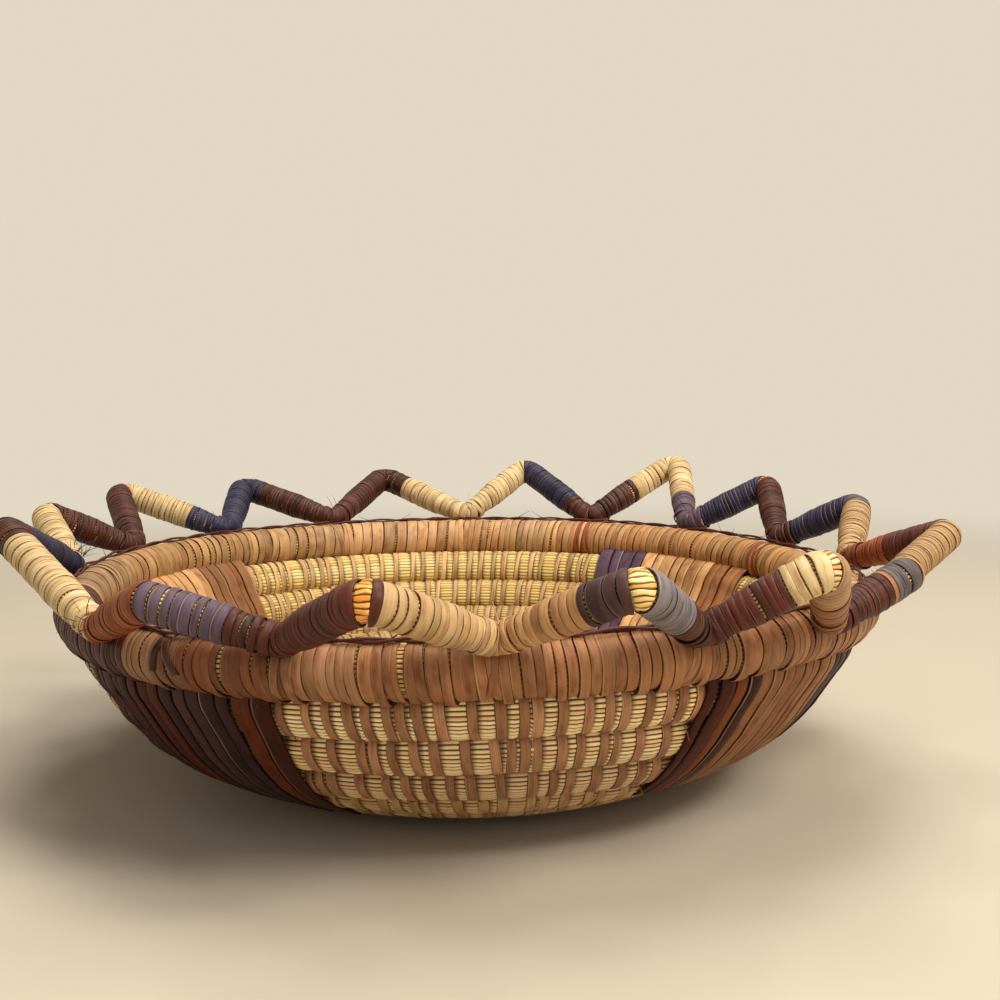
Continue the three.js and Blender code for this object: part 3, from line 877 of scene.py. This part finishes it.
leg_straw = straw_material("leg straw", 0.4)
# The bent straw's painted shade between stalks is lighter and warmer
bent_straw = straw_material("bent straw", 0.4, 0.85, (0.17, 0.055, 0.014, 1))
for index in range(30):
    radius = leg_thickness / 2 - 0.5
    leg = leg_bundle(index, radius)
    total = leg.length[-1]
    bands = leg_colours[index]
    rising = index % 2 == 0
    sheets = [straw_sheet(leg, np.linspace(0, total, 40), leg_stalks, linear((240, 212, 158)),
                          lift=-0.35, material=1)]
    bare, bare_tone = bare_peaks.get(index // 2, (0, None))
    first, last = (0, total - bare / 2) if rising else (bare / 2, total)
    if bare and rising:
        bend = corner_bundle(index + 1, radius)
        middle = bend.length[-1] / 2
        lengths = np.linspace(middle - bare / 2 - 0.5, middle + bare / 2 + 0.5, 19)
        swell = 0.35 - 1.6 * np.linspace(-1, 1, 19) ** 4
        fold = straw_sheet(bend, lengths, 21, linear(bare_tone), lift=swell, material=2,
                           cells=(0, 0.12, 0.38, 0.62, 0.88), groove=0.8, rough=0.22, sway=0.028,
                           tuck=1.8)
        sheets.append(fold)
    place = first
    fine = leg_strips.get(index, usual_strip)
    while place < last - 0.3:
        width = chance.uniform(0.7, 1.3) * fine
        width = width if place + width < last - 0.9 else last - place + 0.1
        width = narrow_ring.get(index, width) if place == first else width
        share = (place + width / 2) / total
        share = share if rising else 1 - share
        from_peak = (1 - share) * total
        dye_name = next(name for end, name in bands if share <= end + 1e-6)
        beads = any(abs(from_peak - row * total) < width / 2 for row in bead_rows.get(index, ()))
        beads = beads or from_peak > 7 and chance.random() < 0.03
        gap = chance.uniform(0.38, 0.52) if beads else chance.uniform(-0.18, 0.05)
        gap = gap * 0.6 if from_peak < 4 else gap
        beside_fold = bare and from_peak < bare / 2 + 2
        lift = 0.3 if beside_fold else chance.uniform(-0.05, 0.24)
        lean = 0.3 if beside_fold else 0.9 + chance.normal(0, 0.5)
        sheets.append(wrap(leg, place + (width - gap) / 2, width - gap, dyed(dye_name, 0.08),
                           lift=lift, lean=lean, steps=28))
        place += width
    add_piece(f"border_leg_{index + 1:02d}", sheets, [leaf, leg_straw, bent_straw],
              f"zigzag_leg_{index + 1:02d}")


# The corner lashings: at each foot a few strips go over the bend, fanned out in the valley between
# its two legs, and two go on round the rim, flat on its own wrapping, and tie the border down.
thin_round_rim = (8, 10)

for index in range(15):
    radius = foot_share * (leg_thickness / 2 - 0.5)
    bend = corner_bundle(2 * index, radius, reach=9.0)
    bend.rows[:, 9] += 0.1 * np.abs(bend.length - bend.length[-1] / 2)
    middle = bend.length[-1] / 2
    strips = []
    for offset in (-6.2, -4.1, -2.3, -0.8, 0.9, 2.6, 4.4):
        wide = chance.uniform(1.7, 2.4)
        place = middle + offset + chance.normal(0, 0.25)
        bands = leg_colours[2 * index - 1 if offset < 0 else 2 * index]
        leg_dye = "violet" if index == 9 else bands[0][1]
        strips.append(wrap(bend, place, wide, dyed(leg_dye, 0.1), wobble=0.3,
                           lift=0.35 + chance.uniform(0, 0.3), lean=chance.normal(0, 1.6)))
    foot_place = zigzag[index][0] / 360 * rim_loop
    thin = index in thin_round_rim
    for offset in (-3.1, -1.2, 0.8, 2.4) if thin else (-2.4, 1.9):
        wide = chance.uniform(1.0, 1.4) if thin else chance.uniform(2.0, 2.7)
        place = foot_place + offset + chance.normal(0, 0.5)
        dye = dyed("rust", 0.1) if thin else rim_dye(foot_place)
        strips.append(wrap(rim, place, wide, dye, 0.34, lift=0.3 + chance.uniform(0, 0.15),
                           lean=chance.normal(0, 2.5), steps=40))
    add_piece(f"foot_lashing_{index + 1:02d}", strips, [leaf],
              f"corner_lashing_{index + 1:02d}")


# Loose ends: thin fibres that stand out of the lashings, the runner and the seams of the coil,
# where a strip was split, tied off or has frayed with use.
def fibre(start, aim, length, thickness, dye, curl):
    """A loose end that leaves its place along aim and curls as it goes."""
    aim = unit(np.asarray(aim, float))
    side = unit(np.cross(aim, chance.normal(0, 1, 3)))
    part = np.linspace(0, 1, 7)[:, None]
    line = np.asarray(start) + (aim * part + side * curl * part ** 2) * length
    hair = Bundle(line, np.gradient(line, axis=0), np.cross(aim, side),
                  thickness * (1 - 0.6 * part[:, 0]))
    around = np.arange(4) / 4 * 2 * math.pi
    return sheet(hair.at(hair.length[:, None], around[None, :]), hair.length,
                 np.linspace(0.3, 0.7, 5), dye, number=chance.random() * 0.5)


frayed = {0: ("navy", 44), 1: ("dark brown", 20), 3: ("tan", 8), 9: ("navy", 6), 11: ("cream", 9)}
fibres = []
for index in range(15):
    foot, out, up = seat_of(index)
    dye_name, count = frayed.get(index, ("dark brown", 5))
    for _ in range(count):
        turn = chance.uniform(-0.5, 2.6)
        start = polar(rim_radius + out, foot + chance.normal(0, 1.2), rim_height + up)
        outward = polar(math.cos(turn), foot, math.sin(turn))
        aim = outward + polar(chance.normal(0, 0.6), foot + 90, 0)
        fibres.append(fibre(start + outward * 3.4, aim, chance.uniform(3, 8),
                            chance.uniform(0.12, 0.2), dyed(dye_name, 0.1), chance.normal(0, 0.6)))
for _ in range(46):
    angle = chance.uniform(0, 360)
    start = polar(rim_radius + 2.7, angle, rim_height + rim_thickness / 2 + 0.6)
    aim = polar(1, angle + chance.choice([-90, 90]), 0) + [0, 0, chance.uniform(0.1, 0.7)]
    fibres.append(fibre(start, aim, chance.uniform(3, 9), 0.15, dyed("dark brown", 0.1), 0.3))
for _ in range(90):
    angle = chance.uniform(150, 400)
    row = chance.integers(7, 12)
    edge = turn_edge(np.array([row + (angle - step_end) % 360 / 360]))[0]
    start = wall_point(edge, angle, -5.6)
    aim = polar(1, angle + chance.choice([-90, 90]), 0) + polar(0.9, angle, chance.normal(-0.1, 0.3))
    fibres.append(fibre(start, aim, chance.uniform(1.6, 3.2), 0.24, dyed("brown", 0.1),
                        chance.normal(0, 0.9)))
add_piece("loose_fibres", fibres, [leaf], "rim_coil", lowest=0.1)


# The dark tie at the front left: two flat strips come out from the runner, under the violet leg,
# and fork down the outside of the rim.
tie = []
for angle, width, lean in ((239.0, 3.2, 28.0), (231.0, 2.6, -7.0)):
    tie.append(wrap(rim, angle / 360 * rim_loop, width, dyed("dark brown", 0.05) * 0.6, 0.42,
                    lift=0.6, lean=lean, steps=14, turns=(1.6 * math.pi, 1.98 * math.pi),
                    wobble=0.2))
add_piece("rim_tie_front_left", tie, [leaf], "rim_coil")


# The ground the basket stands on: a plain pale floor, whose far parts melt into the pale backdrop
# when the camera looks at them.
floor_colour = (197, 186, 168)
floor_reach = 6
backdrop_colour = (226, 216, 196)


def seen_directly(add):
    """One for what the camera sees, by itself or in a gloss or through glass, otherwise nothing."""
    seen = add.node("LightPath", output="Is Camera Ray")
    for other in ("Is Glossy Ray", "Is Transmission Ray"):
        seen = seen.maths("MAXIMUM", add.node("LightPath", output=other))
    return seen


def floor_material():
    """Pale and dull, with a faint cloudiness. Far from the basket it takes the backdrop's colour."""
    material, add, shader = new_material("pale floor", 0.2)
    place = add.node("TexCoord", output="Object")
    cloud = add.node("TexNoise", {"Vector": place, "Scale": 2.5, "Detail": 4.0})
    join(shader, Base_Color=add.node("ValToRGB", {0: cloud}, stops=[
        (0.3, tuple(tone * 0.97 for tone in floor_colour)), (0.7, floor_colour)]))
    shader.inputs["Roughness"].default_value = 0.85
    away = add.node("VectorMath", {0: place}, output="Value", operation="LENGTH")
    far = away.between(0.45, 1.0) * seen_directly(add)
    glow = add.node("Emission", {"Color": (*linear(backdrop_colour), 1)}, output="Emission")
    surface = add.node("MixShader", {0: far, 1: Shade(add.tree, shader.outputs["BSDF"]), 2: glow})
    add.tree.links.new(surface.socket, add.tree.nodes["Material Output"].inputs["Surface"])
    return material


floor_mesh = bpy.data.meshes.new("studio_floor")
floor_corners = [(x * floor_reach, y * floor_reach, 0) for x, y in ((-1, -1), (1, -1), (1, 1), (-1, 1))]
floor_mesh.from_pydata(floor_corners, [], [(0, 1, 2, 3)])
floor_mesh.materials.append(floor_material())
floor = bpy.data.objects.new("studio_floor", floor_mesh)
bpy.context.scene.collection.objects.link(floor)


# Plain soft studio light: a large soft lamp high at the front right, a broad one overhead, weak
# ones from the front and the left, and an even pale sky.
def lamp(name, place, aim, size, power, colour):
    light = bpy.data.lights.new(name, "AREA")
    light.shape = "DISK"
    light.size = size
    light.energy = power
    light.color = colour
    made = bpy.data.objects.new(name, light)
    made.location = place
    made.rotation_euler = (Vector(aim) - Vector(place)).to_track_quat("-Z", "Y").to_euler()
    bpy.context.scene.collection.objects.link(made)


lamp("key_soft", (0.8, -0.8, 1.2), (0, 0, 0.05), 0.6, 20, (1, 0.94, 0.86))
lamp("overhead", (0.1, 0.15, 1.3), (0, 0, 0), 0.8, 13, (1, 0.96, 0.9))
lamp("front_soft", (0.6, -1.2, 0.6), (0, 0, 0.05), 0.9, 3.5, (1, 0.94, 0.86))
lamp("left_soft", (-1.3, -0.7, 0.6), (0, 0, 0.05), 1.0, 1.5, (1, 0.95, 0.88))
world = bpy.data.worlds.new("even sky")
bpy.context.scene.world = world
world.use_nodes = True
sky = Shade(world.node_tree)
even_light = sky.node("Background", {"Color": (*linear((232, 224, 208)), 1), "Strength": 0.32})
backdrop = sky.node("Background", {"Color": (*linear(backdrop_colour), 1), "Strength": 1.0})
seen = sky.node("MixShader", {0: seen_directly(sky), 1: even_light, 2: backdrop})
sky.tree.links.new(seen.socket, sky.tree.nodes["World Output"].inputs["Surface"])
bpy.context.scene.view_settings.view_transform = "Standard"


# The camera stands in front, a little above the border, and looks slightly down. Its place, its
# turns in radians and its focal length were fitted to the photo's rim, wall and border.
camera_place = (0, -0.490839, (rim_height + 82.902) / 1000)
camera_yaw, camera_pitch, camera_roll = -0.026227, 0.10186, -0.0087307
sensor_width = 36
focal_widths = 1.320127
camera_data = bpy.data.cameras.new("camera")
camera_data.sensor_width = sensor_width
camera_data.lens = sensor_width * focal_widths
camera = bpy.data.objects.new("camera", camera_data)
turned = Matrix.Rotation(camera_yaw, 4, "Z") @ Matrix.Rotation(math.pi / 2 - camera_pitch, 4, "X")
turned = turned @ Matrix.Rotation(camera_roll, 4, "Z")
camera.matrix_world = Matrix.Translation(camera_place) @ turned
bpy.context.scene.collection.objects.link(camera)
bpy.context.scene.camera = camera
